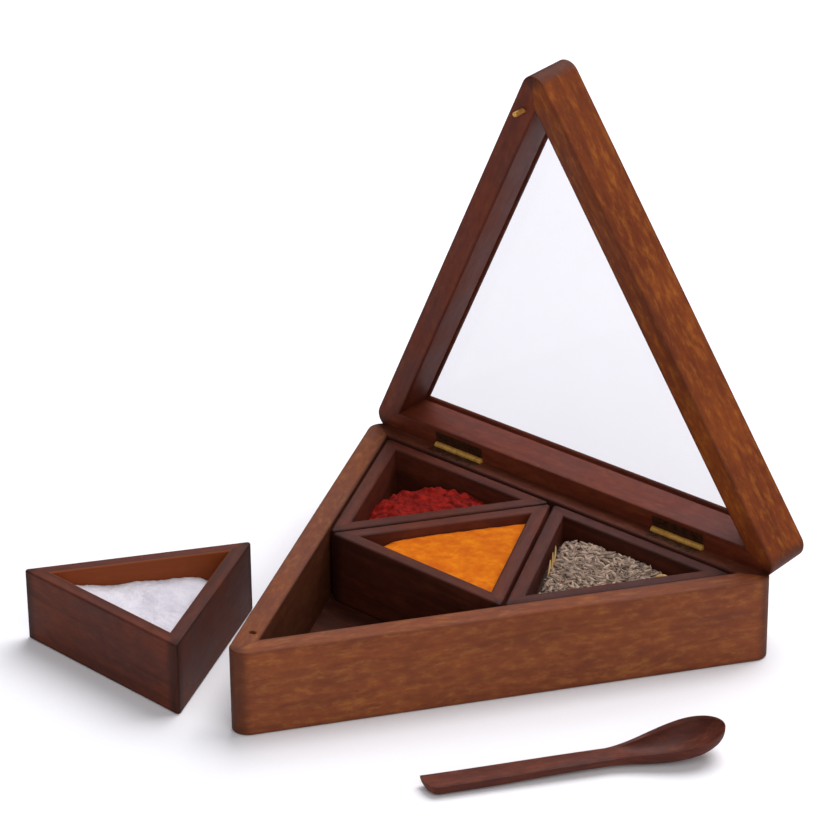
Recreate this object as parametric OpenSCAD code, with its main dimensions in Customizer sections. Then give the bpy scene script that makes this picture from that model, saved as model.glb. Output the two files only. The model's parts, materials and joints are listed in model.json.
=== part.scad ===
// Three-sided wooden spice box with a hinged glass lid, four loose cups and a spoon.
// Seen from above the box is an equilateral triangle. The origin is the middle of its underside, +Z is up,
// the hinges are along the +Y side and the front corner points to -Y. The lid is drawn open.

/* [Box] */
// Length of each outer side of the box
side = 215; // [205:1:225]
// Height of the box without its lid
box_h = 33.5; // [33:0.5:38]
// Thickness of the box walls
wall = 9.5; // [9:0.5:10]
// Radius of the upright corners of the box and the lid
corner_r = 6; // [3:0.5:7]
// Thickness of the base panel
base_t = 4; // [3:0.5:4]
// How far the base panel is let into the walls
base_rebate = 4; // [2:0.5:5]

/* [Lid] */
// Width of the lid rails
rail = 10; // [9.5:0.5:12]
// Height of the lid rails
lid_t = 19.5; // [19:0.5:22]
// Distance from the closing face of the lid to the glass
glass_depth = 14.8; // [13:0.1:15]
// Thickness of the glass
glass_t = 2; // [1.5:0.5:3]
// How far the glass is let into the rails
glass_groove = 3; // [2:0.5:4]
// Angle that the lid turns through from closed to open
open_angle = 83.25; // [70:0.25:90]
// Gap between the box and the closed lid
lid_gap = 0.2; // [0.2:0.1:0.5]

/* [Hinges] */
// Length of each hinge
hinge_len = 25.4; // [22:0.1:28]
// Distance of each hinge from the middle of the back
hinge_x = 57.3; // [45:0.1:65]
// Distance of the hinge pins from the back face
pin_inset = 2.2; // [2:0.1:3]
// Radius of the hinge pins
pin_r = 0.6; // [0.5:0.05:0.8]
// Outer radius of the hinge knuckles
knuckle_r = 1.5; // [1.3:0.1:1.7]
// Thickness of the hinge leaves
leaf_t = 0.8; // [0.6:0.1:1]
// Width of each hinge leaf, from the pin
leaf_w = 6.2; // [6:0.1:6.5]

/* [Locating pin] */
// Radius of the pin that lines up the closed lid
peg_r = 1; // [0.8:0.1:1.2]
// How far the pin stands out of the lid
peg_out = 5; // [3:0.5:6]
// Sideways distance of the pin from the front corner
peg_x = 6; // [5.5:0.5:6.5]
// Distance of the pin behind the front corner
peg_back = 20.8; // [20:0.1:22]

/* [Cups] */
// Free space around each cup
cup_gap = 0.65; // [0.5:0.05:1.5]
// Height of the cups
cup_h = 28.9; // [26:0.1:29]
// Thickness of the cup walls
cup_wall = 5.9; // [4:0.1:6.5]
// Thickness of the cup floors
cup_floor = 3; // [2:0.5:4]
// How far a cup floor is let into the cup walls
cup_rebate = 2.5; // [1.5:0.5:3]
// Radius of the upright corners of the cups
cup_corner_r = 1.2; // [0.5:0.1:2]
// Place of the cup that stands beside the box, left to right
loose_cup_x = -68.5; // [-80:0.5:-66]
// Place of the cup that stands beside the box, front to back
loose_cup_y = -97; // [-110:0.5:-90]
// Turn of the cup that stands beside the box
loose_cup_turn = 58.8; // [50:0.1:70]

/* [Spice] */
// Depth of the top of the chilli heap below the rim
chilli_drop = 7; // [5:0.5:12]
// Radius of the domed top of the chilli heap
chilli_dome = 90; // [60:5:300]
// Depth of the top of the turmeric heap below the rim
turmeric_drop = 2.5; // [1:0.5:8]
// Radius of the domed top of the turmeric heap
turmeric_dome = 120; // [60:5:300]
// Depth of the top of the cumin heap below the rim
cumin_drop = 3.5; // [1:0.5:8]
// Radius of the domed top of the cumin heap
cumin_dome = 70; // [60:5:300]
// Depth of the top of the salt heap below the rim
salt_drop = 8; // [5:0.5:12]
// Radius of the domed top of the salt heap
salt_dome = 300; // [60:5:400]

/* [Spoon] */
// Length of the spoon
spoon_len = 110.5; // [105:0.5:120]
// Width of the spoon's handle
handle_w = 10; // [9:0.5:11]
// Thickness of the spoon's handle
handle_t = 3.9; // [3:0.1:4.5]
// Length of the spoon's bowl
bowl_len = 43.5; // [38:0.5:46]
// Width of the spoon's bowl
bowl_w = 21; // [18:0.5:24]
// Height of the bowl's tip above the table
tip_h = 11.4; // [11:0.1:13]
// Depth of the bowl's hollow
bowl_depth = 6.5; // [5:0.1:6.6]
// Thickness of the bowl's rim
bowl_lip = 1.2; // [1:0.1:1.6]
// Place of the end of the handle, left to right
spoon_x = 78; // [74:0.1:90]
// Place of the end of the handle, front to back
spoon_y = -101.5; // [-110:0.5:-90]
// Turn of the spoon from the +X axis
spoon_turn = 58.5; // [50:0.5:66]

/* [Hidden] */
$fn = 64;

box_wood = [0.45, 0.25, 0.15];
lid_wood = [0.52, 0.28, 0.13];
cup_wood = [0.32, 0.18, 0.15];
spoon_wood = [0.38, 0.2, 0.15];
brass = [0.72, 0.55, 0.26];

// Directions that the three sides and the three corners face
right_side = -30;
back_side = 90;
left_side = 210;
corner_angles = [270, 30, 150];

eps = 1; // how far a cutting solid runs past the solid that it cuts
box_in_r = side / (2 * sqrt(3)); // middle of the box to an outer side
room_in_r = box_in_r - wall; // middle of the box to an inner side
cup_in_r = room_in_r / 2 - cup_gap; // middle of a cup to its outer side
fill_in_r = cup_in_r - cup_wall; // middle of a cup to its inner side

// Hinges
pin_y = box_in_r - pin_inset;
pin_z = box_h + lid_gap / 2;
lid_z = box_h + lid_gap; // closing face of the closed lid
edge_angle = open_angle / 2 + 0.6; // slope of the bevels that let the lid swing back
hinge_clear = 0.3; // room around the knuckles in the wood
knuckle_gap = 0.2; // end gap between knuckles
mid_knuckle = hinge_len / 3;
pin_clear = 0.05;
screw_x = 8; // screws from the middle of a hinge
screw_y = 3.9; // screws from the pin
screw_r = 0.8;
screw_len = 7;
head_r = 1.5;
head_h = 0.7;
screw_clear = 0.05;
slot_w = 0.4;
slot_d = 0.3;

dome_fn = 180; // segments of the wide spheres that round the heaps

// Locating pin
peg_y = peg_back - 2 * box_in_r;
peg_in = 6; // length of the pin inside the rail
peg_tip = 0.4;
peg_clear = 0.3;
peg_hole = peg_out + 1;

// Spoon outline: stations along the spoon and points around each one
stations = 32;
ring_points = 18;
neck_u = spoon_len - bowl_len;
neck_half_w = 4.4;
neck_top = 5; // top of the handle where it meets the bowl
neck_bottom = 0.8; // underside of the handle where it meets the bowl
neck_crown = 0.7; // how far the top of the neck is domed
wide_at = 0.71; // widest place of the bowl, as a share of its length
tip_share = 0.995; // where the last station cuts the tip
handle_square = 0.35; // lower values give a squarer section
bowl_round = 0.9;
square_len = 20; // length of the handle that keeps its square section
end_len = 4.5; // length of the rounded corner at the end of the handle
end_near = -0.8; // where that corner starts, as a share of half the handle's width
end_thin = 0.8; // thickness of the handle at its very end

// Triangle whose sides are in_r from the middle
module triangle(in_r) {
    polygon([for (a = corner_angles) 2 * in_r * [cos(a), sin(a)]]);
}

// The same triangle with its corners rounded to radius r
module round_triangle(in_r, r) {
    polygon([for (a = corner_angles) for (s = [-60, 60])
        2 * (in_r - r) * [cos(a), sin(a)] + r * [cos(a + s), sin(a + s)]]);
    for (a = corner_angles)
        translate(2 * (in_r - r) * [cos(a), sin(a)])
            circle(r);
}

// One side of a triangular frame, mitred at both ends
module frame_side(in_r, width, r, facing) {
    intersection() {
        round_triangle(in_r, r);
        polygon([for (p = [[in_r - width, -60], [in_r + eps, -60], [in_r + eps, 60], [in_r - width, 60]])
            2 * p[0] * [cos(facing + p[1]), sin(facing + p[1])]]);
    }
}

// Everything on the middle's side of a line that lies across the way a side faces
module up_to(distance, facing) {
    rotate(facing)
        translate([0, -side])
            square([distance, 2 * side]);
}

// A frame side that stands on the table, with a rebate for a floor panel
module tray_side(in_r, width, height, r, facing, floor_t, rebate) {
    difference() {
        linear_extrude(height)
            frame_side(in_r, width, r, facing);
        translate([0, 0, -eps])
            linear_extrude(floor_t + eps)
                up_to(in_r - width + rebate, facing);
    }
}

// Extrudes a Y-Z outline along X, centred on X = 0
module along_x(length) {
    rotate([90, 0, 90])
        translate([0, 0, -length / 2])
            linear_extrude(length)
                children();
}

// A cylinder on the hinge axis
module on_pin(r, length) {
    translate([0, pin_y, pin_z])
        rotate([0, 90, 0])
            cylinder(r = r, h = length, center = true);
}

// Repeats a shape at both hinges
module both_hinges() {
    for (x = [-hinge_x, hinge_x])
        translate([x, 0, 0])
            children();
}

// Repeats a shape at both screws of a hinge, with its top on the box's rim
module both_screws() {
    for (x = [-screw_x, screw_x])
        translate([x, pin_y - screw_y, box_h])
            children();
}

// Swaps the box side of a hinge for the lid side
module to_lid_side() {
    translate([0, 0, 2 * pin_z])
        mirror([0, 0, 1])
            children();
}

// Turns the closed lid about the hinge pins to its open place
module opened() {
    translate([0, pin_y, pin_z])
        rotate([-open_angle, 0, 0])
            translate([0, -pin_y, -pin_z])
                children();
}

// All the wood that the hinges take out of the box's back wall
module hinge_cuts() {
    translate([0, pin_y, pin_z])
        along_x(side)
            polygon([
                [0, 0],
                [pin_inset + eps, -(pin_inset + eps) * tan(edge_angle)],
                [pin_inset + eps, eps],
                [0, eps]
            ]);
    both_hinges() {
        on_pin(knuckle_r + hinge_clear, hinge_len + 2 * hinge_clear);
        translate([-hinge_len / 2, pin_y - leaf_w, box_h - leaf_t])
            cube([hinge_len, leaf_w, leaf_t + eps]);
        both_screws()
            translate([0, 0, -screw_len - screw_clear])
                cylinder(r = screw_r + screw_clear, h = screw_len);
    }
}

// A flush countersunk screw that points down
module screw() {
    difference() {
        union() {
            translate([0, 0, -head_h])
                cylinder(r1 = screw_r, r2 = head_r, h = head_h);
            translate([0, 0, -screw_len])
                cylinder(r = screw_r, h = screw_len - head_h);
        }
        translate([-head_r - eps, -slot_w / 2, -slot_d])
            cube([2 * (head_r + eps), slot_w, slot_d + eps]);
    }
}

// Hinge leaf on the box side; outer is true for the leaf with the two outer knuckles
module leaf(outer) {
    end_knuckle = (hinge_len - mid_knuckle) / 2;
    end_x = (mid_knuckle + end_knuckle) / 2;
    own = outer ? [-end_x, end_x] : [0];
    other = outer ? [0] : [-end_x, end_x];
    own_len = (outer ? end_knuckle : mid_knuckle) - knuckle_gap;
    other_len = (outer ? mid_knuckle : end_knuckle) + knuckle_gap;
    difference() {
        union() {
            translate([-hinge_len / 2, pin_y - leaf_w, box_h - leaf_t])
                cube([hinge_len, leaf_w, leaf_t]);
            for (x = own)
                translate([x, 0, 0])
                    on_pin(knuckle_r, own_len);
        }
        on_pin(pin_r + pin_clear, hinge_len + eps);
        for (x = other)
            translate([x, 0, 0])
                on_pin(knuckle_r + knuckle_gap, other_len);
        both_screws() {
            translate([0, 0, -head_h])
                cylinder(r1 = screw_r + 2 * screw_clear, r2 = head_r + 2 * screw_clear, h = head_h);
            translate([0, 0, -leaf_t - eps])
                cylinder(r = screw_r + 2 * screw_clear, h = leaf_t + eps);
        }
    }
}

module box_right_wall() {
    color(box_wood)
        tray_side(box_in_r, wall, box_h, corner_r, right_side, base_t, base_rebate);
}

module box_left_wall() {
    color(box_wood)
        difference() {
            tray_side(box_in_r, wall, box_h, corner_r, left_side, base_t, base_rebate);
            translate([-peg_x, peg_y, box_h - peg_hole])
                cylinder(r = peg_r + peg_clear, h = peg_hole + eps);
        }
}

module box_back_wall() {
    color(box_wood)
        difference() {
            tray_side(box_in_r, wall, box_h, corner_r, back_side, base_t, base_rebate);
            hinge_cuts();
        }
}

module base_panel() {
    color(box_wood)
        linear_extrude(base_t)
            triangle(room_in_r + base_rebate);
}

module left_hinge_box_leaf() {
    color(brass)
        translate([-hinge_x, 0, 0])
            leaf(true);
}

module right_hinge_box_leaf() {
    color(brass)
        translate([hinge_x, 0, 0])
            leaf(true);
}

module left_hinge_pin() {
    color(brass)
        translate([-hinge_x, 0, 0])
            on_pin(pin_r, hinge_len);
}

module right_hinge_pin() {
    color(brass)
        translate([hinge_x, 0, 0])
            on_pin(pin_r, hinge_len);
}

module box_leaf_screws() {
    color(brass)
        both_hinges()
            both_screws()
                screw();
}

// A lid rail in its closed place
module closed_rail(facing) {
    difference() {
        translate([0, 0, lid_z])
            linear_extrude(lid_t)
                frame_side(box_in_r, rail, corner_r, facing);
        translate([0, 0, lid_z + glass_depth])
            linear_extrude(glass_t)
                up_to(box_in_r - rail + glass_groove, facing);
    }
}

module lid_right_rail() {
    color(lid_wood)
        opened()
            closed_rail(right_side);
}

module lid_left_rail() {
    color(lid_wood)
        opened()
            difference() {
                closed_rail(left_side);
                translate([-peg_x, peg_y, lid_z - eps])
                    cylinder(r = peg_r, h = peg_in + eps);
            }
}

module lid_back_rail() {
    color(lid_wood)
        opened()
            difference() {
                closed_rail(back_side);
                to_lid_side()
                    hinge_cuts();
            }
}

module lid_glass() {
    color([0.9, 0.92, 0.96, 0.35])
        opened()
            translate([0, 0, lid_z + glass_depth])
                linear_extrude(glass_t)
                    triangle(box_in_r - rail + glass_groove);
}

module left_hinge_lid_leaf() {
    color(brass)
        opened()
            translate([-hinge_x, 0, 0])
                to_lid_side()
                    leaf(false);
}

module right_hinge_lid_leaf() {
    color(brass)
        opened()
            translate([hinge_x, 0, 0])
                to_lid_side()
                    leaf(false);
}

module lid_leaf_screws() {
    color(brass)
        opened()
            to_lid_side()
                both_hinges()
                    both_screws()
                        screw();
}

module lid_locating_pin() {
    color(brass)
        opened()
            translate([-peg_x, peg_y, lid_z]) {
                translate([0, 0, peg_tip - peg_out])
                    cylinder(r = peg_r, h = peg_in + peg_out - peg_tip);
                translate([0, 0, -peg_out])
                    cylinder(r1 = peg_r - peg_tip, r2 = peg_r, h = peg_tip);
            }
}

// Moves a cup from the middle of the table to a corner of the box
module in_corner(angle) {
    translate([room_in_r * cos(angle), room_in_r * sin(angle), base_t])
        children();
}

// Moves a cup to the middle of the box, where its corners point the other way
module in_middle() {
    translate([0, 0, base_t])
        rotate(180)
            children();
}

// Moves a cup to its place on the table beside the box
module beside_box() {
    translate([loose_cup_x, loose_cup_y, 0])
        rotate(loose_cup_turn)
            children();
}

module cup_side(facing) {
    color(cup_wood)
        tray_side(cup_in_r, cup_wall, cup_h, cup_corner_r, facing, cup_floor, cup_rebate);
}

module cup_bottom() {
    color(cup_wood)
        linear_extrude(cup_floor)
            triangle(fill_in_r + cup_rebate);
}

// Spice in a cup, with a domed top
module heap(drop, dome, colour) {
    color(colour)
        intersection() {
            translate([0, 0, cup_floor])
                linear_extrude(cup_h - cup_floor)
                    triangle(fill_in_r);
            translate([0, 0, cup_h - drop - dome])
                sphere(dome, $fn = dome_fn);
        }
}

module chilli_cup_right_wall() { in_corner(150) cup_side(right_side); }
module chilli_cup_left_wall() { in_corner(150) cup_side(left_side); }
module chilli_cup_back_wall() { in_corner(150) cup_side(back_side); }
module chilli_cup_floor() { in_corner(150) cup_bottom(); }
module chilli_powder() { in_corner(150) heap(chilli_drop, chilli_dome, [0.6, 0.1, 0.06]); }

module turmeric_cup_right_wall() { in_middle() cup_side(right_side); }
module turmeric_cup_left_wall() { in_middle() cup_side(left_side); }
module turmeric_cup_back_wall() { in_middle() cup_side(back_side); }
module turmeric_cup_floor() { in_middle() cup_bottom(); }
module turmeric_powder() { in_middle() heap(turmeric_drop, turmeric_dome, [0.9, 0.5, 0.08]); }

module cumin_cup_right_wall() { in_corner(30) cup_side(right_side); }
module cumin_cup_left_wall() { in_corner(30) cup_side(left_side); }
module cumin_cup_back_wall() { in_corner(30) cup_side(back_side); }
module cumin_cup_floor() { in_corner(30) cup_bottom(); }
module cumin_seeds() { in_corner(30) heap(cumin_drop, cumin_dome, [0.6, 0.5, 0.4]); }

module salt_cup_right_wall() { beside_box() cup_side(right_side); }
module salt_cup_left_wall() { beside_box() cup_side(left_side); }
module salt_cup_back_wall() { beside_box() cup_side(back_side); }
module salt_cup_floor() { beside_box() cup_bottom(); }
module salt_heap() { beside_box() heap(salt_drop, salt_dome, [0.95, 0.95, 0.96]); }

// Spoon profiles along its length u, with s as the share of the bowl that is behind u
function bowl_share(u) = max(0, (u - neck_u) / bowl_len);
function smooth(t) = t * t * (3 - 2 * t);
function half_width(u) = let (s = bowl_share(u))
    s == 0 ? handle_w / 2 + (neck_half_w - handle_w / 2) * smooth(u / neck_u) :
    s < wide_at ? neck_half_w + (bowl_w / 2 - neck_half_w) * smooth(s / wide_at) :
    bowl_w / 2 * sqrt(1 - pow((s - wide_at) / (1 - wide_at), 2));
function rounded_share(u) = u > end_len ? 1 : sqrt(1 - pow(1 - u / end_len, 2));
function near_share(u) = end_near + (1 - end_near) * rounded_share(u);
function top_height(u) = let (s = bowl_share(u))
    s == 0 ? handle_t + (neck_top - handle_t) * smooth(u / neck_u) :
    neck_top + (tip_h - neck_top) * pow(s, 1.3);
function bottom_height(u) = let (s = bowl_share(u))
    u < end_len ? (handle_t - end_thin) * (1 - rounded_share(u)) :
    s == 0 ? neck_bottom * smooth((u - end_len) / (neck_u - end_len)) :
    s < 0.4 ? neck_bottom * (1 - smooth(s / 0.4)) :
    (tip_h - 1.5 * bowl_lip) * (1 - sqrt(1 - pow((s - 0.4) / 0.6, 2)));
function hollow_depth(u) = let (s = bowl_share(u))
    bowl_depth * pow(sin(180 * pow(s, 1.5)), 0.8)
    - neck_crown * smooth(min(1, u / neck_u)) * (1 - smooth(min(1, s / 0.3)));
function roundness(u) = let (share = smooth(max(0, min(1, (u - square_len) / (neck_u - square_len)))))
    handle_square + (bowl_round - handle_square) * share;
function station_u(k) = k < 5 ? end_len * pow(k / 4, 2) :
    k < 12 ? end_len + (neck_u - end_len) * (k - 4) / 8 :
    neck_u + bowl_len * tip_share * sin(90 * (k - 12) / (stations - 13));
function half_span(u) = half_width(u) * (1 + near_share(u)) / 2;
function middle_y(u) = half_width(u) * (1 - near_share(u)) / 2;
function under_point(u, a) = let (top = top_height(u))
    [u, middle_y(u) + half_span(u) * sin(a), top - (top - bottom_height(u)) * pow(max(0, cos(a)), roundness(u))];
function upper_point(u, a) = let (inner = half_span(u) - min(bowl_lip, half_span(u) * 0.1 + bowl_share(u) * 10))
    [u, middle_y(u) + inner * sin(a), top_height(u) - hollow_depth(u) * cos(a)];
function station_ring(u) = let (half = ring_points / 2)
    concat(
        [for (j = [0:half]) under_point(u, 180 * j / half - 90)],
        [for (j = [1:half - 1]) upper_point(u, 90 - 180 * j / half)]
    );

module spoon() {
    count = stations * ring_points;
    rings = [for (k = [0:stations - 1]) each station_ring(station_u(k))];
    first = [0, middle_y(0), handle_t - end_thin / 2];
    last = [station_u(stations - 1), 0, tip_h - bowl_lip];
    skin = [for (k = [0:stations - 2]) for (j = [0:ring_points - 1])
        let (a = k * ring_points + j, b = k * ring_points + (j + 1) % ring_points)
            each [[a, a + ring_points, b], [b, a + ring_points, b + ring_points]]];
    handle_end = [for (j = [0:ring_points - 1]) [j, (j + 1) % ring_points, count]];
    tip_start = count - ring_points;
    tip = [for (j = [0:ring_points - 1]) [tip_start + (j + 1) % ring_points, tip_start + j, count + 1]];
    color(spoon_wood)
        translate([spoon_x, spoon_y, 0])
            rotate(spoon_turn)
                polyhedron(concat(rings, [first, last]), concat(skin, handle_end, tip));
}

box_right_wall();
box_left_wall();
box_back_wall();
base_panel();
left_hinge_box_leaf();
right_hinge_box_leaf();
left_hinge_pin();
right_hinge_pin();
box_leaf_screws();
lid_right_rail();
lid_left_rail();
lid_back_rail();
lid_glass();
left_hinge_lid_leaf();
right_hinge_lid_leaf();
lid_leaf_screws();
lid_locating_pin();
chilli_cup_right_wall();
chilli_cup_left_wall();
chilli_cup_back_wall();
chilli_cup_floor();
chilli_powder();
turmeric_cup_right_wall();
turmeric_cup_left_wall();
turmeric_cup_back_wall();
turmeric_cup_floor();
turmeric_powder();
cumin_cup_right_wall();
cumin_cup_left_wall();
cumin_cup_back_wall();
cumin_cup_floor();
cumin_seeds();
salt_cup_right_wall();
salt_cup_left_wall();
salt_cup_back_wall();
salt_cup_floor();
salt_heap();
spoon();
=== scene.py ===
"""Finished look of a three-sided sheesham spice box with its lid open, four cups of spice and a spoon."""

import json
import math
import random

import bmesh
import bpy
from mathutils import Matrix, Quaternion, Vector, noise


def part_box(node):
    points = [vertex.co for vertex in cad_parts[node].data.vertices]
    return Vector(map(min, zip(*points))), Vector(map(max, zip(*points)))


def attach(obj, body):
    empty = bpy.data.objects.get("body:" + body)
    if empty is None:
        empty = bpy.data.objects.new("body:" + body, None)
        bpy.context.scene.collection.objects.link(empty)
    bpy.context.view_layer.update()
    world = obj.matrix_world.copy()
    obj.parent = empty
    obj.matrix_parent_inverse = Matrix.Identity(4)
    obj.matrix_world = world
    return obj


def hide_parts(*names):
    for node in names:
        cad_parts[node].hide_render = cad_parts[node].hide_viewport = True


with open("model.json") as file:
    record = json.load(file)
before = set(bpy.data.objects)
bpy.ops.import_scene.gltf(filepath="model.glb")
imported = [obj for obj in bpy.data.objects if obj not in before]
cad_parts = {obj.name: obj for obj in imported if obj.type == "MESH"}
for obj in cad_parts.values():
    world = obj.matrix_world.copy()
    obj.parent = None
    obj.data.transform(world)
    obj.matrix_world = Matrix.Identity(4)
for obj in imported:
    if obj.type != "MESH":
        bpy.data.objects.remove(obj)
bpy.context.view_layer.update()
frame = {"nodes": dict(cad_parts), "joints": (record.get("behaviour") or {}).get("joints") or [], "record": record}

MM = 0.001

# Directions that the sides of a triangular frame face, in degrees
FACING = {"right": -30, "back": 90, "left": 210}
# How far each cup is turned from the way the box stands, in degrees
CUP_TURNS = {"chilli": 0, "turmeric": 180, "cumin": 0, "salt": 58.8}

BODY_OF = {n: body for body, names in frame["record"]["behaviour"]["bodies"].items() for n in names}

# Rounding of the edges of boards, of thin panels, of metal and of the spoon
SOFT_EDGE = 0.75 * MM
THIN_EDGE = 0.25 * MM
METAL_EDGE = 0.08 * MM
SPOON_EDGE = 0.12 * MM

# Angles between faces, in degrees, past which the shading of wood, metal and the spoon breaks
WOOD_BREAK = 32
METAL_BREAK = 40
SPOON_BREAK = 60

# Hinge axis, across and up, and the distance from it that counts as knuckle
HINGE = next(j for j in frame["joints"] if j["name"] == "lid_hinge")
HINGE_PIN = HINGE["pos_m"][1:]
KNUCKLE_REACH = 1.9 * MM

# Heaps of spice: gap to the cup's walls, and rows of points across each heap
HEAP_GAP = 0.05 * MM
POWDER_ROWS = 130
SALT_ROWS = 150
CUMIN_ROWS = 40
SEED_COUNT = 1500

# Spoon: the same rule as the CAD spoon, with more stations. The bowl is a hair narrower, so that its finer
# outline doesn't reach past the CAD one
SPOON_END = (78 * MM, -101.5 * MM)
SPOON_TURN = 58.5
SPOON_LEN = 110.5 * MM
HANDLE_W = 10 * MM
HANDLE_T = 3.9 * MM
BOWL_LEN = 43.5 * MM
BOWL_W = 20.98 * MM
TIP_H = 11.4 * MM
BOWL_DEPTH = 6.5 * MM
BOWL_LIP = 1.2 * MM
NECK_HALF_W = 4.4 * MM
NECK_TOP = 5 * MM
NECK_BOTTOM = 0.8 * MM
NECK_CROWN = 0.7 * MM
NECK_U = SPOON_LEN - BOWL_LEN
WIDE_AT = 0.71
TIP_SHARE = 0.9995
HANDLE_SQUARE = 0.35
BOWL_ROUND = 0.9
SQUARE_LEN = 20 * MM
END_LEN = 4.5 * MM
END_NEAR = -0.8
END_THIN = 0.8 * MM

# Camera
CAMERA_PLACE = (0.7774, -0.8187, 0.5910)
CAMERA_AZIMUTH = 44.40
CAMERA_DOWN = 23.90
CAMERA_ROLL = -0.61
CAMERA_LENS = 143.9

# Soft boxes: name, place, point faced, width, watts and colour
SOFT_BOXES = (
    ("top_softbox", (-0.05, 0.78, 1.4), (0, 0, 0), 1.5, 28, (1.0, 0.99, 1.0)),
    ("right_softbox", (1.22, -0.78, 0.95), (0, 0, 0.03), 2.0, 14.8, (1.0, 0.97, 0.94)),
    ("back_panel", (-0.9, 1.1, 1.0), (0, 0, 0.03), 1.2, 3, (0.94, 0.93, 1.0)),
)
SKY_COLOUR = (0.93, 0.94, 1.0, 1.0)
SKY_STRENGTH = 0.26
FLOOR_REACH = 6
FLOOR_DROP = 0.1 * MM

# Tones of the woods, from 0 to 255 sRGB: the dark of the grain, the body, its warm glow and its golden flecks
WOOD_TONES = {
    "box_sheesham": ((90, 43, 25), (123, 63, 35), (130, 70, 37), (158, 102, 48)),
    # Painted shade: a darker copy of the box's wood for the back wall by the open lid
    "shaded_back_sheesham": ((62, 26, 17), (86, 40, 25), (94, 46, 28), (110, 64, 36)),
    # Painted shade: a darker copy of the wood for the floor of the box, down in its bay
    "shaded_bay_sheesham": ((40, 16, 10), (64, 28, 18), (74, 34, 20), (92, 50, 26)),
    "lid_sheesham": ((76, 30, 12), (114, 51, 16), (132, 64, 19), (166, 98, 30)),
    # Painted shade: a darker copy of the lid's wood for the rails that face away from the light
    "shaded_lid_sheesham": ((70, 25, 15), (105, 44, 24), (118, 53, 29), (136, 70, 36)),
    "cup_sheesham": ((52, 21, 14), (84, 36, 23), (102, 48, 28), (118, 61, 34)),
    # The salt cup's wood, whose inner faces take painted bounce light from the salt
    "salt_bounce_sheesham": ((52, 21, 14), (84, 36, 23), (102, 48, 28), (118, 61, 34)),
    "spoon_sheesham": ((56, 22, 16), (86, 40, 29), (98, 48, 33), (120, 62, 36)),
}
# Painted bounce light from the salt, on the salt cup's inner faces
SALT_BOUNCE_TONE = (168, 82, 32)


# ---------------------------------------------------------------- materials


def srgb(red, green, blue):
    """Linear colour from 0 to 255 sRGB values."""
    return tuple((c / 255 / 12.92) if c <= 10 else ((c / 255 + 0.055) / 1.055) ** 2.4
                 for c in (red, green, blue)) + (1.0,)


def darker(colour, share):
    return tuple(c * share for c in colour[:3]) + (1.0,)


class Finish:
    """A node material, with short calls for the nodes that the finishes here share."""

    def __init__(self, name):
        self.material = bpy.data.materials.new(name)
        self.material.use_nodes = True
        self.tree = self.material.node_tree
        self.shader = self.tree.nodes["Principled BSDF"]

    def put(self, node, key, value):
        if isinstance(value, bpy.types.NodeSocket):
            self.tree.links.new(value, node.inputs[key])
        else:
            node.inputs[key].default_value = value

    def add(self, kind, inputs, **settings):
        node = self.tree.nodes.new("ShaderNode" + kind)
        for key, value in settings.items():
            setattr(node, key, value)
        for key, value in inputs.items():
            self.put(node, key, value)
        return node

    def attribute(self, name):
        return self.add("Attribute", {}, attribute_name=name).outputs["Vector"]

    def value(self, name):
        return self.add("Attribute", {}, attribute_name=name).outputs["Fac"]

    def place(self):
        return self.add("TexCoord", {}).outputs["Object"]

    def apart(self, vector):
        return self.add("SeparateXYZ", {0: vector}).outputs

    def vector(self, operation, a, b):
        return self.add("VectorMath", {0: a, 1: b}, operation=operation).outputs["Vector"]

    def math(self, operation, a, b=0.0):
        return self.add("Math", {0: a, 1: b}, operation=operation).outputs["Value"]

    def noise(self, vector, scale, detail=3.0, roughness=0.5, distortion=0.0):
        inputs = {"Vector": vector, "Scale": scale, "Detail": detail, "Roughness": roughness,
                  "Distortion": distortion}
        return self.add("TexNoise", inputs).outputs["Fac"]

    def streaks(self, vector, stretch, detail, roughness=0.5, distortion=0.0):
        """Noise drawn out along a vector's axes by the three scales in stretch."""
        return self.noise(self.vector("MULTIPLY", vector, stretch), 1.0, detail, roughness, distortion)

    def between(self, value, low, high, to_low=0.0, to_high=1.0):
        inputs = {"Value": value, "From Min": low, "From Max": high, "To Min": to_low, "To Max": to_high}
        return self.add("MapRange", inputs, interpolation_type="SMOOTHSTEP").outputs["Result"]

    def mix(self, share, a, b):
        node = self.add("Mix", {}, data_type="RGBA")
        for index, value in ((0, share), (6, a), (7, b)):
            self.put(node, index, value)
        return node.outputs[2]

    def bump(self, height, depth, strength):
        inputs = {"Height": height, "Distance": depth, "Strength": strength}
        return self.add("Bump", inputs).outputs["Normal"]

    def shade(self, **inputs):
        for key, value in inputs.items():
            self.put(self.shader, key.replace("_", " "), value)


def darker_rims_and_shaded_ends(f, colour, deep, grain, half_size, clouds):
    """Darkens a board along its long edges, and paints shade towards its ends, where its corners turn from the
    light.
    """
    half_length, half_width, half_height = half_size
    from_side = f.math("SUBTRACT", half_width, f.math("ABSOLUTE", grain["Y"]))
    from_top = f.math("SUBTRACT", half_height, f.math("ABSOLUTE", grain["Z"]))
    from_edge = f.math("ADD", f.math("MAXIMUM", from_side, 0.0), f.math("MAXIMUM", from_top, 0.0))
    ragged = f.math("ADD", from_edge, f.math("MULTIPLY", f.math("SUBTRACT", clouds, 0.5), 1.6 * MM))
    rim = f.between(ragged, 0.1 * MM, 1.7 * MM, 1.0, 0.0)
    colour = f.mix(f.math("MULTIPLY", rim, 0.5), colour, deep)
    # Painted shade: the ends turn much darker, where the mitred corners face away from the light
    from_end = f.math("SUBTRACT", half_length, f.math("ABSOLUTE", grain["X"]))
    return f.mix(f.between(from_end, 1.5 * MM, 6 * MM, 0.75, 0.0), colour, darker(deep, 0.6))


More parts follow.
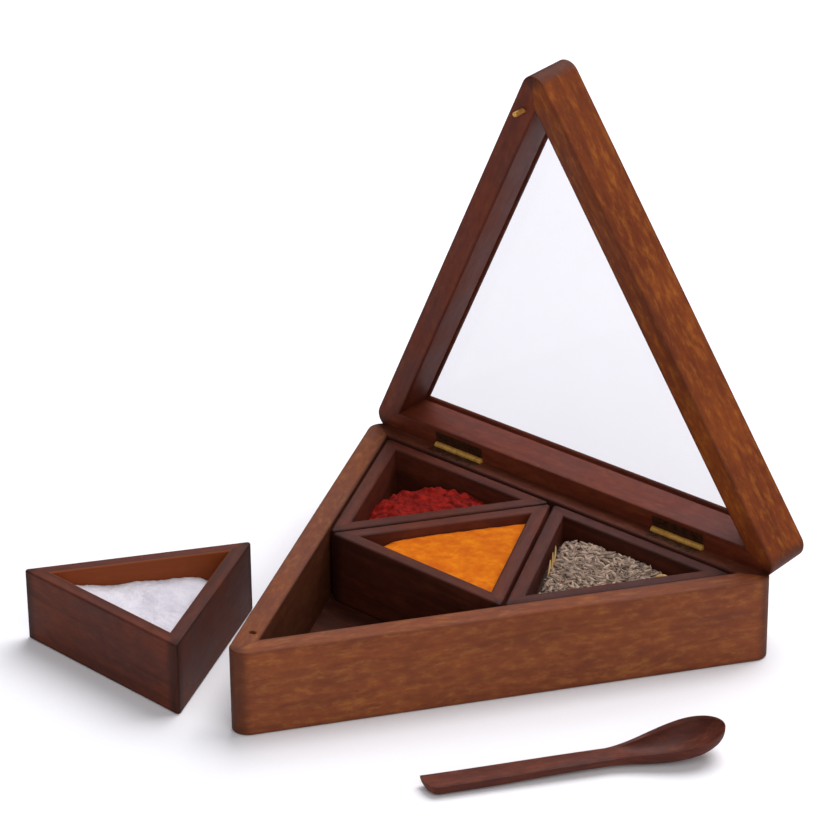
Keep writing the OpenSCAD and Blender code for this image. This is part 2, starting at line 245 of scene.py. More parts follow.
def wood_finish(name, half_size, flecked=0.5, striped=0.4, painted_inner_share=0.0, inner_bounce_tone=None):
    """Oiled sheesham. Grain runs along the board's own X; the long edges are darker, and the ends carry painted
    shade.

    flecked and striped say how strong the golden flecks and the dark bands are. By the given share, the board's
    inner face takes painted bounce light in the given tone, and without a tone it takes very dark painted shade.
    """
    f = Finish(name)
    deep, body, glow, gold = (srgb(*tone) for tone in WOOD_TONES[name])
    grain = f.attribute("grain")
    shift = f.attribute("shift")
    moved = f.vector("ADD", grain, shift)

    sway = f.streaks(moved, (9, 30, 30), 2.0)
    swing = f.vector("MULTIPLY", f.add("CombineXYZ", {"Y": sway, "Z": sway}).outputs[0], (0, 0.012, 0.012))
    bent = f.vector("ADD", moved, swing)
    fibres = f.streaks(bent, (22, 420, 420), 5.0, 0.62)
    bands = f.streaks(bent, (6, 150, 150), 3.0, 0.55, 0.3)
    clouds = f.streaks(moved, (30, 46, 46), 4.0, 0.55)
    flecks = f.streaks(bent, (150, 400, 400), 4.0, 0.65)
    pores = f.streaks(bent, (190, 2400, 2400), 2.0)

    fibre_share = f.between(fibres, 0.25, 0.75)
    pore_share = f.between(pores, 0.6, 0.74)
    colour = f.mix(f.math("ADD", f.math("MULTIPLY", fibre_share, 0.6), 0.4), deep, body)
    colour = f.mix(f.math("MULTIPLY", f.between(clouds, 0.35, 0.7), 0.6), colour, glow)
    colour = f.mix(f.between(flecks, 0.46, 0.74, 0.0, flecked), colour, gold)
    colour = f.mix(f.between(flecks, 0.5, 0.3, 0.0, 0.35), colour, deep)
    colour = f.mix(f.between(bands, 0.48, 0.7, 0.0, striped), colour, deep)
    colour = f.mix(f.math("MULTIPLY", pore_share, 0.3), colour, darker(deep, 0.45))

    place = f.apart(grain)
    colour = darker_rims_and_shaded_ends(f, colour, deep, place, half_size, clouds)
    # Painted light on the inner face: very dark painted shade, unless a painted bounce-light tone is given
    if painted_inner_share > 0:
        inner_face = -half_size[1]
        inside = f.between(place["Y"], inner_face, inner_face + 1.2 * MM, painted_inner_share, 0.0)
        colour = f.mix(inside, colour, srgb(*inner_bounce_tone) if inner_bounce_tone else darker(deep, 0.3))
    own_tone = f.math("MULTIPLY", f.math("SUBTRACT", f.apart(shift)["X"], 0.5), 0.25)
    level = f.math("ADD", own_tone, 1.0)
    colour = f.add("HueSaturation", {"Color": colour, "Value": level}).outputs["Color"]

    rough = f.math("ADD", f.between(clouds, 0.3, 0.7, 0.5, 0.63), f.math("MULTIPLY", fibre_share, 0.08))
    height = f.math("SUBTRACT", f.math("MULTIPLY", fibres, 0.35), pore_share)
    f.shade(Base_Color=colour, Roughness=rough, Specular_IOR_Level=0.16,
            Normal=f.bump(height, 0.05 * MM, 0.5))
    return f.material


def brass_finish(name, clean, stained, low_rough, high_rough, metal):
    """Old lacquered brass, dull and a little stained."""
    f = Finish(name)
    place = f.place()
    stain = f.noise(place, 420, 4.0, 0.6)
    brushed = f.streaks(place, (700, 6000, 6000), 3.0)
    colour = f.mix(f.between(stain, 0.35, 0.7), clean, stained)
    f.shade(Base_Color=colour, Metallic=metal, Roughness=f.between(stain, 0.3, 0.7, low_rough, high_rough),
            Normal=f.bump(brushed, 0.02 * MM, 0.5))
    return f.material


def glass_finish():
    """Thin window glass with a faint grey tint, which lets the light for shadows through."""
    f = Finish("pane_glass")
    smear = f.noise(f.place(), 14, 3.0, 0.6)
    f.shade(Base_Color=f.mix(f.between(smear, 0.3, 0.7), srgb(223, 222, 224), srgb(221, 220, 222)),
            Roughness=f.between(smear, 0.45, 0.75, 0.0, 0.03),
            Normal=f.bump(smear, 0.02 * MM, 0.1), Transmission_Weight=1.0, IOR=1.12)
    clear = f.add("BsdfTransparent", {"Color": srgb(244, 243, 248)})
    path = f.add("LightPath", {})
    shadow = f.math("MAXIMUM", path.outputs["Is Shadow Ray"], path.outputs["Is Diffuse Ray"])
    both = f.add("MixShader", {0: shadow, 1: f.shader.outputs[0], 2: clear.outputs[0]})
    f.tree.links.new(both.outputs[0], f.tree.nodes["Material Output"].inputs["Surface"])
    return f.material


def powder_finish(name, deep, body, bright, lump, grain_depth):
    """Ground spice: colour that changes from lump to lump, and a fine loose surface."""
    f = Finish(name)
    place = f.place()
    lumps = f.noise(place, lump, 4.0, 0.65)
    dust = f.noise(place, 2600, 2.0, 0.7)
    colour = f.mix(f.between(lumps, 0.3, 0.62), deep, body)
    colour = f.mix(f.between(lumps, 0.52, 0.78), colour, bright)
    colour = f.mix(f.between(dust, 0.55, 0.8, 0.0, 0.35), colour, deep)
    f.shade(Base_Color=colour, Roughness=f.between(dust, 0.2, 0.8, 0.8, 1.0), Specular_IOR_Level=0.15,
            Normal=f.bump(dust, grain_depth, 0.9))
    return f.material


def salt_finish():
    """White crystals with a slight sparkle."""
    f = Finish("table_salt")
    place = f.place()
    cells = f.add("TexVoronoi", {"Vector": place, "Scale": 1700.0}).outputs["Distance"]
    drift = f.noise(place, 90, 3.0)
    colour = f.mix(f.between(drift, 0.35, 0.7), srgb(212, 209, 217), srgb(197, 194, 204))
    f.shade(Base_Color=colour, Roughness=f.between(cells, 0.1, 0.6, 0.35, 0.8), Specular_IOR_Level=0.4,
            Normal=f.bump(cells, 0.12 * MM, 0.7))
    return f.material


def seed_finish():
    """Cumin: each seed has a tone of its own, with pale ridges along it."""
    f = Finish("cumin")
    tone = f.value("tone")
    ridge = f.value("ridge")
    speck = f.noise(f.place(), 1500, 2.0)
    colour = f.mix(f.between(tone, 0.0, 0.55), srgb(60, 40, 30), srgb(126, 96, 78))
    colour = f.mix(f.between(tone, 0.45, 0.95), colour, srgb(184, 156, 134))
    colour = f.mix(f.math("MULTIPLY", ridge, 0.55), colour, srgb(190, 172, 150))
    colour = f.mix(f.between(speck, 0.55, 0.75, 0.0, 0.5), colour, srgb(60, 46, 34))
    colour = f.mix(f.between(tone, 1.1, 1.25), colour, srgb(204, 164, 104))
    f.shade(Base_Color=colour, Roughness=f.between(speck, 0.3, 0.7, 0.5, 0.75),
            Normal=f.bump(speck, 0.05 * MM, 0.6), Specular_IOR_Level=0.35)
    return f.material


def floor_finish():
    """Plain white paper."""
    f = Finish("white_paper")
    tooth = f.noise(f.place(), 900, 3.0)
    f.shade(Base_Color=f.mix(tooth, srgb(244, 244, 248), srgb(248, 248, 251)), Roughness=0.9,
            Normal=f.bump(tooth, 0.02 * MM, 0.1), Specular_IOR_Level=0.1)
    return f.material


def coat(node, material):
    """Gives a CAD piece its material."""
    materials = frame["nodes"][node].data.materials
    materials.clear()
    materials.append(material)


# ---------------------------------------------------------------- meshes


def show(piece_name, bm, node, material):
    """Makes a piece from bm that stands for a CAD node, on its body, and hides the CAD node."""
    mesh = bpy.data.meshes.new(piece_name)
    bm.to_mesh(mesh)
    bm.free()
    mesh.materials.append(material)
    piece = bpy.data.objects.new(piece_name, mesh)
    bpy.context.scene.collection.objects.link(piece)
    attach(piece, BODY_OF[node])
    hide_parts(node)
    return piece


def smooth(piece, degrees):
    """Smooth shading up to an angle, with the wide flat faces kept flat."""
    piece.data.shade_smooth()
    piece.data.set_sharp_from_angle(angle=math.radians(degrees))
    weighted = piece.modifiers.new("flat_faces", "WEIGHTED_NORMAL")
    weighted.keep_sharp = True


def bevel(bm, edges, width, segments, clamped):
    bmesh.ops.bevel(bm, geom=edges, offset=width, segments=segments, profile=0.5, affect="EDGES",
                    clamp_overlap=clamped)


def welded(node):
    """A CAD node's mesh as solid faces."""
    bm = bmesh.new()
    bm.from_mesh(frame["nodes"][node].data)
    bmesh.ops.remove_doubles(bm, verts=bm.verts, dist=0.0005 * MM)
    bmesh.ops.dissolve_limit(bm, angle_limit=math.radians(0.5), verts=bm.verts, edges=bm.edges)
    bm.normal_update()
    return bm


def corners(node):
    """The corners of the underside of a triangular CAD node."""
    found = {}
    low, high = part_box(node)
    for v in frame["nodes"][node].data.vertices:
        if v.co.z < low.z + 0.01 * MM:
            found[tuple(round(c, 5) for c in v.co)] = v.co.copy()
    return list(found.values())


def middle(points):
    return sum(points, Vector()) / len(points)


def stamp(mesh, to_board, draw):
    """Writes each vertex's place on the board, and the piece's own random shift of the grain."""
    own_shift = [draw.random() for _ in range(3)]
    grain = mesh.attributes.new("grain", "FLOAT_VECTOR", "POINT")
    shift = mesh.attributes.new("shift", "FLOAT_VECTOR", "POINT")
    for i, v in enumerate(mesh.vertices):
        grain.data[i].vector = to_board @ v.co
        shift.data[i].vector = own_shift


def board_axes(bm, to_centre, facing):
    """The matrix to a board's own frame: X along it, Y outward and Z up, from its middle."""
    turned = Matrix.Rotation(math.radians(90 - facing), 4, "Z") @ to_centre
    places = [turned @ v.co for v in bm.verts]
    half = [(min(p[i] for p in places) + max(p[i] for p in places)) / 2 for i in (1, 2)]
    return Matrix.Translation((0, -half[0], -half[1])) @ turned


def half_size(node, to_centre, facing):
    """Half the length, width and height of a board."""
    bm = welded(node)
    to_board = board_axes(bm, to_centre, facing)
    places = [to_board @ v.co for v in bm.verts]
    bm.free()
    return [max(p[i] for p in places) for i in range(3)]


def soften_board(bm, to_board):
    """Rounds a board's long edges, and leaves its mitres, slots and holes crisp."""
    turn = to_board.to_3x3()
    places = [to_board @ v.co for v in bm.verts]
    half_w = max(p.y for p in places)
    half_h = max(p.z for p in places)

    def kind(face):
        n = turn @ face.normal
        at = to_board @ face.calc_center_median()
        if abs(n.z) > 0.999 and abs(at.z) > half_h - 0.01 * MM:
            return "flat"
        if n.y < -0.999 and at.y < -half_w + 0.01 * MM:
            return "inner"
        if n.y > 0.49 and abs(n.z) < 0.01:
            return "outer"
        if abs(n.x) < 0.01 and n.y > 0.2 and abs(n.z) > 0.2:
            return "bevel"
        return "other"

    kinds = {f: kind(f) for f in bm.faces}
    wide = []
    thin = []
    for e in bm.edges:
        if len(e.link_faces) != 2 or e.calc_face_angle(0) < math.radians(28):
            continue
        pair = {kinds[f] for f in e.link_faces}
        if pair in ({"flat", "outer"}, {"flat", "inner"}):
            wide.append(e)
        elif "bevel" in pair and "other" not in pair and e.calc_length() > 2 * MM:
            thin.append(e)
    bevel(bm, wide, SOFT_EDGE, 4, False)
    bevel(bm, [e for e in thin if e.is_valid], THIN_EDGE, 2, False)
    bm.normal_update()


def make_board(node, to_centre, facing, material, draw):
    bm = welded(node)
    to_board = board_axes(bm, to_centre, facing)
    soften_board(bm, to_board)
    piece = show(node + "_wood", bm, node, material)
    stamp(piece.data, to_board, draw)
    smooth(piece, WOOD_BREAK)


def make_panel(node, to_centre, material, draw):
    """A flat panel whose grain runs across the box."""
    bm = welded(node)
    bevel(bm, [e for e in bm.edges if e.calc_face_angle(0) > math.radians(60)], THIN_EDGE, 2, False)
    low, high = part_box(node)
    to_middle_height = Matrix.Translation((0, 0, -(low.z + high.z) / 2))
    piece = show(node + "_wood", bm, node, material)
    stamp(piece.data, to_middle_height @ to_centre, draw)
    smooth(piece, WOOD_BREAK)


def make_leaf(node, flat_metal, knuckle_metal):
    """A hinge leaf with its edges just broken. Its knuckles keep the bright brass, and its flat is dark brass that
    stands partly for tarnish and partly for painted shade in the gap between lid and box.
    """
    bm = welded(node)
    pin_y, pin_z = HINGE_PIN
    edges = [e for e in bm.edges if len(e.link_faces) == 2 and e.calc_face_angle(0) > math.radians(40)]
    bevel(bm, edges, METAL_EDGE, 2, True)
    for face in bm.faces:
        at = face.calc_center_median()
        face.material_index = 1 if math.hypot(at.y - pin_y, at.z - pin_z) < KNUCKLE_REACH else 0
    piece = show(node + "_brass", bm, node, flat_metal)
    piece.data.materials.append(knuckle_metal)
    smooth(piece, METAL_BREAK)


def join_rings(bm, rings):
    """Walls between each ring of vertices and the next, and a face over each end."""
    around = len(rings[0])
    for low, high in zip(rings, rings[1:]):
        for j in range(around):
            after = (j + 1) % around
            bm.faces.new((low[j], low[after], high[after], high[j]))
    bm.faces.new(reversed(rings[0]))
    bm.faces.new(rings[-1])


# ---------------------------------------------------------------- heaps of spice


def triangle_grid(tips, steps):
    """Points over a triangle, row by row, as (place, nearness to the edge from 0 to 1)."""
    rows = []
    for i in range(steps + 1):
        row = []
        for j in range(steps + 1 - i):
            a, b = i / steps, j / steps
            place = tips[0] * (1 - a - b) + tips[1] * a + tips[2] * b
            row.append((place, min(a, b, 1 - a - b) * 3))
        rows.append(row)
    return rows


def heap_mesh(tips, steps, top):
    """A closed heap on a triangular floor. top(place, inside) gives the height of its surface."""
    bm = bmesh.new()
    grid = triangle_grid(tips, steps)
    rows = [[bm.verts.new((p.x, p.y, top(p, inside))) for p, inside in row] for row in grid]
    for i in range(steps):
        for j in range(steps - i):
            bm.faces.new((rows[i][j], rows[i + 1][j], rows[i][j + 1]))
            if j < steps - i - 1:
                bm.faces.new((rows[i + 1][j], rows[i + 1][j + 1], rows[i][j + 1]))
    rim = [rows[i][0] for i in range(steps)] + [rows[steps - j][j] for j in range(steps)]
    rim += [rows[0][steps - j] for j in range(steps)]
    low = [bm.verts.new((v.co.x, v.co.y, tips[0].z)) for v in rim]
    for k, v in enumerate(rim):
        after = (k + 1) % len(rim)
        bm.faces.new((v, low[k], low[after], rim[after]))
    bm.faces.new(low)
    bmesh.ops.recalc_face_normals(bm, faces=bm.faces)
    return bm


def rough(place, size, octaves, seed):
    """Fractal noise of about -1 to 1 with lumps of the given size."""
    return noise.fractal(place / size + Vector((seed, seed * 2, 0)), 0.9, 2.0, octaves)


def flat_distance(a, b):
    return (a - b).to_2d().length


def hill(place, centre, reach):
    return math.exp(-(flat_distance(place, centre) / reach) ** 2)


def inset(tips, gap):
    """The same triangle with its sides moved in a little."""
    centre = middle(tips)
    in_r = (tips[0] - centre).length / 2
    return [centre + (p - centre) * (1 - gap / in_r) for p in tips]


def cup_rim(cup):
    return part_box(f"{cup}_cup_back_wall")[1].z


def make_heap(node, tips, steps, top, material):
    piece = show(node + "_heap", heap_mesh(tips, steps, top), node, material)
    piece.data.shade_smooth()


def make_turmeric(material):
    """A nearly level heap that falls away at its left corner."""
    tips = inset(corners("turmeric_powder"), HEAP_GAP)
    centre = middle(tips)
    rim = cup_rim("turmeric")
    left = min(tips, key=lambda p: p.x)

    def top(p, inside):
        crest = rim - 2.6 * MM - 4.5 * MM * hill(p, left, 8.5 * MM)
        crest -= 1.2 * MM * (1 - min(1, inside * 4)) ** 2
        crest -= 0.4 * MM * (flat_distance(p, centre) / (30 * MM)) ** 2
        return crest + 0.3 * MM * rough(p, 7 * MM, 3, 3) + 0.1 * MM * rough(p, 1.1 * MM, 3, 5)

    make_heap("turmeric_powder", tips, POWDER_ROWS, top, material)


def make_chilli(material):
    """A lumpy mound that slopes down all round from a flat middle."""
    tips = inset(corners("chilli_powder"), HEAP_GAP)
    centre = middle(tips)
    rim = cup_rim("chilli")
    front = min(tips, key=lambda p: p.y)
    right = max(tips, key=lambda p: p.x)
    heart = centre.lerp(front, 0.14).lerp(right, 0.2)

    def top(p, inside):
        slope = max(0.0, flat_distance(p, heart) - 15 * MM) / (20 * MM)
        crest = max(tips[0].z + 0.6 * MM, rim - 6.3 * MM - 12 * MM * slope ** 1.6)
        lumps = abs(rough(p, 6.5 * MM, 3, 11))
        return crest + 2.5 * MM * lumps + 0.3 * MM * rough(p, 1.6 * MM, 3, 13)

    make_heap("chilli_powder", tips, POWDER_ROWS, top, material)


def make_salt(material):
    """Loose salt, low at the far corner and heaped at the left."""
    tips = inset(corners("salt_heap"), HEAP_GAP)
    rim = cup_rim("salt")
    far = max(tips, key=lambda p: p.y)
    left = min(tips, key=lambda p: p.x)

    def top(p, inside):
        crest = rim - 8.8 * MM - 7 * MM * hill(p, far, 10 * MM) + 2.4 * MM * hill(p, left, 22 * MM)
        crest += 1.1 * MM * rough(p, 13 * MM, 2, 23)
        return crest + 0.25 * MM * rough(p, 2.2 * MM, 3, 29) + 0.06 * MM * rough(p, 0.5 * MM, 2, 31)

    make_heap("salt_heap", tips, SALT_ROWS, top, material)


def add_seed(bm, layers, place, along, up, length, thick, bend, tone):
    """One ridged seed, bent a little and drawn out to its ends."""
    side = up.cross(along).normalized()
    rings = []
    count, around = 7, 8
    for k in range(count):
        t = k / (count - 1) * 2 - 1
        fat = thick / 2 * max(0.12, (1 - abs(t) ** 2.4)) ** 0.6
        axis = place + along * (t * length / 2) + side * (bend * length * (1 - t * t))
        ring = []
        for j in range(around):
            a = 2 * math.pi * j / around
            out = fat * (1.12 if j % 2 else 0.86)
            v = bm.verts.new(axis + (side * math.cos(a) + up * math.sin(a)) * out)
            v[layers["tone"]] = tone
            v[layers["ridge"]] = 1.0 if j % 2 else 0.0
            ring.append(v)
        rings.append(ring)
    join_rings(bm, rings)


def inside_of(tips, p):
    """How far p lies inside a triangle, below 0 when it is outside."""
    centre = middle(tips)
    gaps = []
    for a, b in ((0, 1), (1, 2), (2, 0)):
        edge = (tips[b] - tips[a]).to_2d()
        out = Vector((edge.y, -edge.x)).normalized()
        if out.dot((tips[a] - centre).to_2d()) < 0:
            out = -out
        gaps.append(out.dot((tips[a] - p).to_2d()))
    return min(gaps)


def add_loose_seeds(bm, layers, draw, room, crest):
    """Seeds that lie every way on the heap, nearly level, and inside the room between the walls."""
    centre = middle(room)
    for _ in range(SEED_COUNT):
        a, b = draw.random(), draw.random()
        if a + b > 1:
            a, b = 1 - a, 1 - b
        p = room[0] * (1 - a - b) + room[1] * a + room[2] * b
        turn = draw.uniform(0, 2 * math.pi)
        lean = draw.gauss(0, 0.28)
        along = Vector((math.cos(turn) * math.cos(lean), math.sin(turn) * math.cos(lean), math.sin(lean)))
        up = Vector((0, 0, 1)) - along * along.z
        p.z = crest(p) + draw.uniform(-1.7, 0.3) * MM
        length = draw.uniform(3.8, 6.0) * MM
        if min(inside_of(room, p + along * length / 2), inside_of(room, p - along * length / 2)) < 0:
            p = p.lerp(Vector((centre.x, centre.y, p.z)), 0.12)
        add_seed(bm, layers, p, along, up.normalized(), length, draw.uniform(1.0, 1.45) * MM,
                 draw.uniform(-0.09, 0.09), draw.random())


def add_stalks(bm, layers, tips, crest):
    """Pale bits of stalk that lean on the left wall, and one pale seed apart from the heap."""
    left = min(tips, key=lambda p: p.x)
    front = min(tips, key=lambda p: p.y)
    right = max(tips, key=lambda p: p.x)
    for share, lean, length in ((0.42, 0.9, 9), (0.5, 1.1, 8), (0.58, 0.75, 7)):
        foot = left.lerp(front, share)
        foot += (middle(tips) - foot).normalized() * 2.6 * MM
        foot.z = crest(foot) + 2.2 * MM
        away = (left - front).normalized()
        along = Vector((away.x * math.cos(lean), away.y * math.cos(lean), math.sin(lean)))
        up = along.cross(Vector((away.y, -away.x, 0))).normalized()
        add_seed(bm, layers, foot, along, up, length * MM, 0.8 * MM, 0.03, 1.35)
    spot = right.lerp(middle(tips), 0.36)
    spot.z = crest(spot) + 2.4 * MM
    add_seed(bm, layers, spot, Vector((0.8, 0.6, 0)), Vector((0, 0, 1)), 5 * MM, 1.9 * MM, 0.05, 1.3)


def make_cumin(material):
    """A domed heap covered in separate seeds."""
    tips = inset(corners("cumin_seeds"), HEAP_GAP)
    rim = cup_rim("cumin")
    left = min(tips, key=lambda p: p.x)
    heart = middle(tips).lerp(left, 0.05)

    def crest(p):
        fall = flat_distance(p, heart) / (44 * MM)
        return rim - 4.2 * MM - 6.5 * MM * fall ** 1.8

    bm = heap_mesh(tips, CUMIN_ROWS, lambda p, inside: crest(p) - 1.6 * MM)
    layers = {"tone": bm.verts.layers.float.new("tone"), "ridge": bm.verts.layers.float.new("ridge")}
    add_loose_seeds(bm, layers, random.Random(17), inset(tips, 1.6 * MM), crest)
    add_stalks(bm, layers, tips, crest)
    piece = show("cumin_seeds_pile", bm, "cumin_seeds", material)
    piece.data.shade_smooth()


# ---------------------------------------------------------------- spoon


def ease(t):
    return t * t * (3 - 2 * t)


def bowl_share(u):
    return max(0.0, (u - NECK_U) / BOWL_LEN)


def half_width(u):
    s = bowl_share(u)
    if s == 0:
        return HANDLE_W / 2 + (NECK_HALF_W - HANDLE_W / 2) * ease(u / NECK_U)
    if s < WIDE_AT:
        return NECK_HALF_W + (BOWL_W / 2 - NECK_HALF_W) * ease(s / WIDE_AT)
    return BOWL_W / 2 * math.sqrt(1 - ((s - WIDE_AT) / (1 - WIDE_AT)) ** 2)


def rounded_share(u):
    return 1.0 if u > END_LEN else math.sqrt(1 - (1 - u / END_LEN) ** 2)


def near_share(u):
    """How far the near side reaches, as a share of the half width.

    It is less at the rounded corner of the handle's end.
    """
    return END_NEAR + (1 - END_NEAR) * rounded_share(u)


def top_height(u):
    s = bowl_share(u)
    if s == 0:
        return HANDLE_T + (NECK_TOP - HANDLE_T) * ease(u / NECK_U)
    return NECK_TOP + (TIP_H - NECK_TOP) * s ** 1.3


def bottom_height(u):
    s = bowl_share(u)
    if u < END_LEN:
        return (HANDLE_T - END_THIN) * (1 - rounded_share(u))
    if s == 0:
        return NECK_BOTTOM * ease((u - END_LEN) / (NECK_U - END_LEN))
    if s < 0.4:
        return NECK_BOTTOM * (1 - ease(s / 0.4))
    return (TIP_H - 1.5 * BOWL_LIP) * (1 - math.sqrt(1 - ((s - 0.4) / 0.6) ** 2))


def hollow_depth(u):
    s = bowl_share(u)
    crown = NECK_CROWN * ease(min(1.0, u / NECK_U)) * (1 - ease(min(1.0, s / 0.3)))
    return BOWL_DEPTH * max(0.0, math.sin(math.pi * s ** 1.5)) ** 0.8 - crown


def side_power(u):
    """How square the section is at u: the handle's end is squarer than the bowl."""
    towards_neck = max(0.0, min(1.0, (u - SQUARE_LEN) / (NECK_U - SQUARE_LEN)))
    return HANDLE_SQUARE + (BOWL_ROUND - HANDLE_SQUARE) * ease(towards_neck)


def spoon_ring(u, around):
    """Points round the spoon at u: under it from side to side, then back over the top."""
    w, near, top, bottom = half_width(u), near_share(u), top_height(u), bottom_height(u)
    span, mid = w * (1 + near) / 2, w * (1 - near) / 2
    inner = span - min(BOWL_LIP, span * 0.1 + bowl_share(u) * 10 * MM)
    power = side_power(u)
    half = around // 2
    ring = []
    for j in range(half + 1):
        a = math.pi * j / half - math.pi / 2
        ring.append((mid + span * math.sin(a), top - (top - bottom) * max(0.0, math.cos(a)) ** power))
    for j in range(1, half):
        a = math.pi / 2 - math.pi * j / half
        ring.append((mid + inner * math.sin(a), top - hollow_depth(u) * math.cos(a)))
    return ring


def make_spoon(material, draw):
    around, end_steps, handle_steps, bowl_steps = 48, 10, 40, 50
    turn = Matrix.Translation((*SPOON_END, 0)) @ Matrix.Rotation(math.radians(SPOON_TURN), 4, "Z")
    stations = [END_LEN * (k / end_steps) ** 2 for k in range(end_steps)]
    stations += [END_LEN + (NECK_U - END_LEN) * k / handle_steps for k in range(handle_steps)]
    stations += [NECK_U + BOWL_LEN * TIP_SHARE * math.sin(math.pi / 2 * k / bowl_steps)
                 for k in range(bowl_steps + 1)]
    bm = bmesh.new()
    outlines = [[turn @ Vector((u, y, z)) for y, z in spoon_ring(u, around)] for u in stations]
    join_rings(bm, [[bm.verts.new(point) for point in outline] for outline in outlines])
    bmesh.ops.recalc_face_normals(bm, faces=bm.faces)
    bevel(bm, [e for e in bm.edges if e.calc_face_angle(0) > math.radians(50)], SPOON_EDGE, 2, True)
    piece = show("spoon_wood", bm, "spoon", material)
    stamp(piece.data, turn.inverted(), draw)
    smooth(piece, SPOON_BREAK)


# ---------------------------------------------------------------- stage


def aimed(place, target):
    return (Vector(target) - Vector(place)).to_track_quat("-Z", "Y")


def make_camera():
    data = bpy.data.cameras.new("camera")
    data.lens = CAMERA_LENS
    camera = bpy.data.objects.new("camera", data)
    bpy.context.scene.collection.objects.link(camera)
    azimuth, down = math.radians(CAMERA_AZIMUTH), math.radians(CAMERA_DOWN)
    ahead = Vector((-math.sin(azimuth) * math.cos(down), math.cos(azimuth) * math.cos(down), -math.sin(down)))
    camera.location = CAMERA_PLACE
    camera.rotation_mode = "QUATERNION"
    roll = Quaternion((0, 0, 1), math.radians(CAMERA_ROLL))
    camera.rotation_quaternion = ahead.to_track_quat("-Z", "Y") @ roll
    bpy.context.scene.camera = camera


def make_light(name, place, target, size, power, colour):
    data = bpy.data.lights.new(name, "AREA")
    data.shape = "DISK"
    data.size = size
    data.energy = power
    data.color = colour
    lamp = bpy.data.objects.new(name, data)
    bpy.context.scene.collection.objects.link(lamp)
    lamp.location = place
    lamp.rotation_mode = "QUATERNION"
    lamp.rotation_quaternion = aimed(place, target)


def make_sky():
    world = bpy.data.worlds.new("studio")
    bpy.context.scene.world = world
    world.use_nodes = True
    background = world.node_tree.nodes["Background"]
    background.inputs["Color"].default_value = SKY_COLOUR
    background.inputs["Strength"].default_value = SKY_STRENGTH


def make_floor():
    bm = bmesh.new()
    under = Matrix.Translation((0, 0, -FLOOR_DROP))
    bmesh.ops.create_grid(bm, x_segments=8, y_segments=8, size=FLOOR_REACH, matrix=under)
    mesh = bpy.data.meshes.new("floor")
    bm.to_mesh(mesh)
    bm.free()
    mesh.materials.append(floor_finish())
    floor = bpy.data.objects.new("floor", mesh)
    bpy.context.scene.collection.objects.link(floor)


def make_stage():
    make_sky()
    for soft_box in SOFT_BOXES:
        make_light(*soft_box)
    make_floor()
    bpy.context.scene.view_settings.view_transform = "Standard"


# ---------------------------------------------------------------- assembly


def closed_lid():
    """The matrix that turns the open lid back to its closed place."""
    place = Vector(HINGE["pos_m"])
    turn = Matrix.Rotation(math.radians(HINGE["range_deg"][0]), 4, Vector(HINGE["axis"]))
    return Matrix.Translation(place) @ turn @ Matrix.Translation(-place)


def to_middle_of(panel):
    centre = middle(corners(panel))
    return Matrix.Translation((-centre.x, -centre.y, 0))


def make_box(to_middle, draw):
    half = half_size("box_right_wall", to_middle, FACING["right"])
    # The inner faces of the box walls carry painted shade
    box_wood = wood_finish("box_sheesham", half, painted_inner_share=0.6)
    # The back wall takes a darker copy of the box's wood, as painted shade
    shaded_back_wood = wood_finish("shaded_back_sheesham", half, painted_inner_share=0.6)
    for side, facing in FACING.items():
        wood = shaded_back_wood if side == "back" else box_wood
        make_board(f"box_{side}_wall", to_middle, facing, wood, draw)
    # The base panel takes a darker copy of the wood, as painted shade in the bay
    make_panel("base_panel", to_middle, wood_finish("shaded_bay_sheesham", half), draw)


def make_lid(to_middle, draw):
    half = half_size("lid_right_rail", to_middle, FACING["right"])
    # The inner faces of the lid rails carry painted shade
    golden_wood = wood_finish("lid_sheesham", half, painted_inner_share=0.5)
    # The left and back rails take a darker copy of the lid's wood, as painted shade
    shaded_lid_wood = wood_finish("shaded_lid_sheesham", half, flecked=0.35, painted_inner_share=0.2)
    for side, facing in FACING.items():
        wood = golden_wood if side == "right" else shaded_lid_wood
        make_board(f"lid_{side}_rail", to_middle, facing, wood, draw)
    coat("lid_glass", glass_finish())


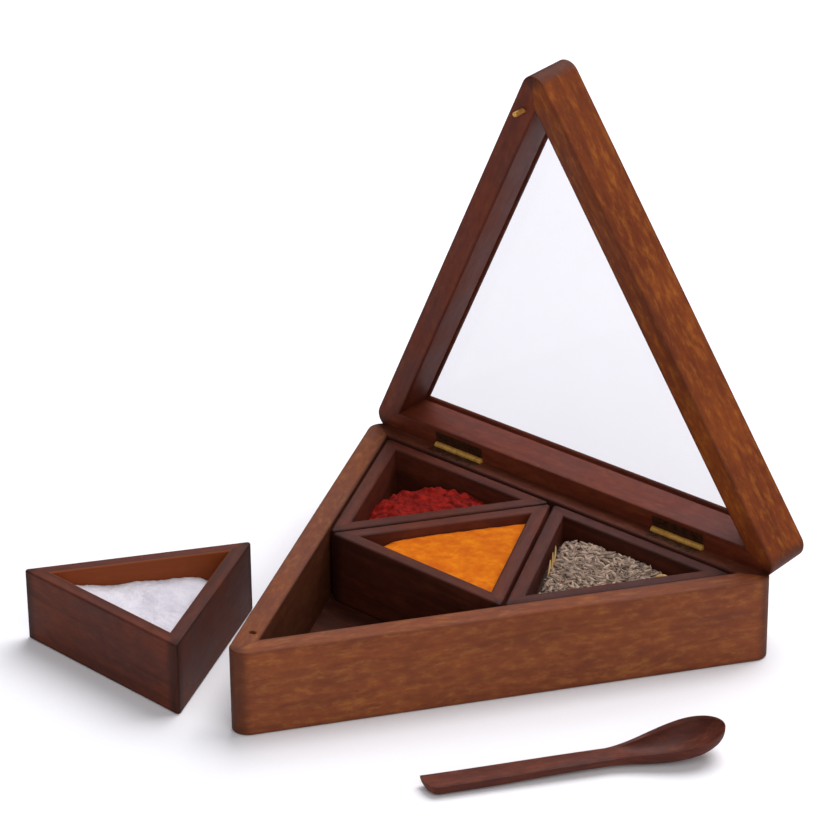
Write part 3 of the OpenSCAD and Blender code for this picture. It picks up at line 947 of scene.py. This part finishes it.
def make_cups(draw):
    half = half_size("chilli_cup_right_wall", to_middle_of("chilli_cup_floor"), FACING["right"])
    cup_wood = wood_finish("cup_sheesham", half, flecked=0.2, striped=0.7)
    # The salt cup's inner faces carry painted bounce light from the salt
    salt_bounce_wood = wood_finish("salt_bounce_sheesham", half, flecked=0.2, striped=0.7, painted_inner_share=0.42,
                            inner_bounce_tone=SALT_BOUNCE_TONE)
    for cup, turn in CUP_TURNS.items():
        to_middle = to_middle_of(f"{cup}_cup_floor")
        wall_wood = salt_bounce_wood if cup == "salt" else cup_wood
        for side, facing in FACING.items():
            make_board(f"{cup}_cup_{side}_wall", to_middle, facing + turn, wall_wood, draw)
        make_panel(f"{cup}_cup_floor", to_middle, cup_wood, draw)


def make_brasswork():
    brass = brass_finish("rubbed_brass", srgb(232, 180, 92), srgb(196, 140, 62), 0.3, 0.5, 0.6)
    # Dark brass for the leaves' flats and the screws: partly tarnish, partly painted shade in the hinge gap
    tarnish_and_shade = brass_finish("tarnished_and_shaded_brass", srgb(84, 48, 26), srgb(50, 27, 16), 0.45, 0.7, 0.7)
    for side in ("left", "right"):
        make_leaf(f"{side}_hinge_box_leaf", tarnish_and_shade, brass)
        make_leaf(f"{side}_hinge_lid_leaf", tarnish_and_shade, brass)
        coat(f"{side}_hinge_pin", brass)
    coat("box_leaf_screws", tarnish_and_shade)
    coat("lid_leaf_screws", tarnish_and_shade)
    coat("lid_locating_pin", brass)


def make_spices():
    make_turmeric(powder_finish("turmeric", srgb(204, 96, 5), srgb(222, 118, 5), srgb(238, 142, 8),
                                170, 0.08 * MM))
    make_chilli(powder_finish("chilli", srgb(96, 12, 8), srgb(146, 24, 12), srgb(168, 34, 20),
                              320, 0.14 * MM))
    make_salt(salt_finish())
    make_cumin(seed_finish())


def main():
    draw = random.Random(5)
    make_camera()
    make_stage()
    to_box_middle = to_middle_of("base_panel")
    make_box(to_box_middle, draw)
    make_lid(to_box_middle @ closed_lid(), draw)
    make_cups(draw)
    make_brasswork()
    make_spices()
    make_spoon(wood_finish("spoon_sheesham", (SPOON_LEN * 2, HANDLE_W / 2, HANDLE_T / 2)), draw)


main()
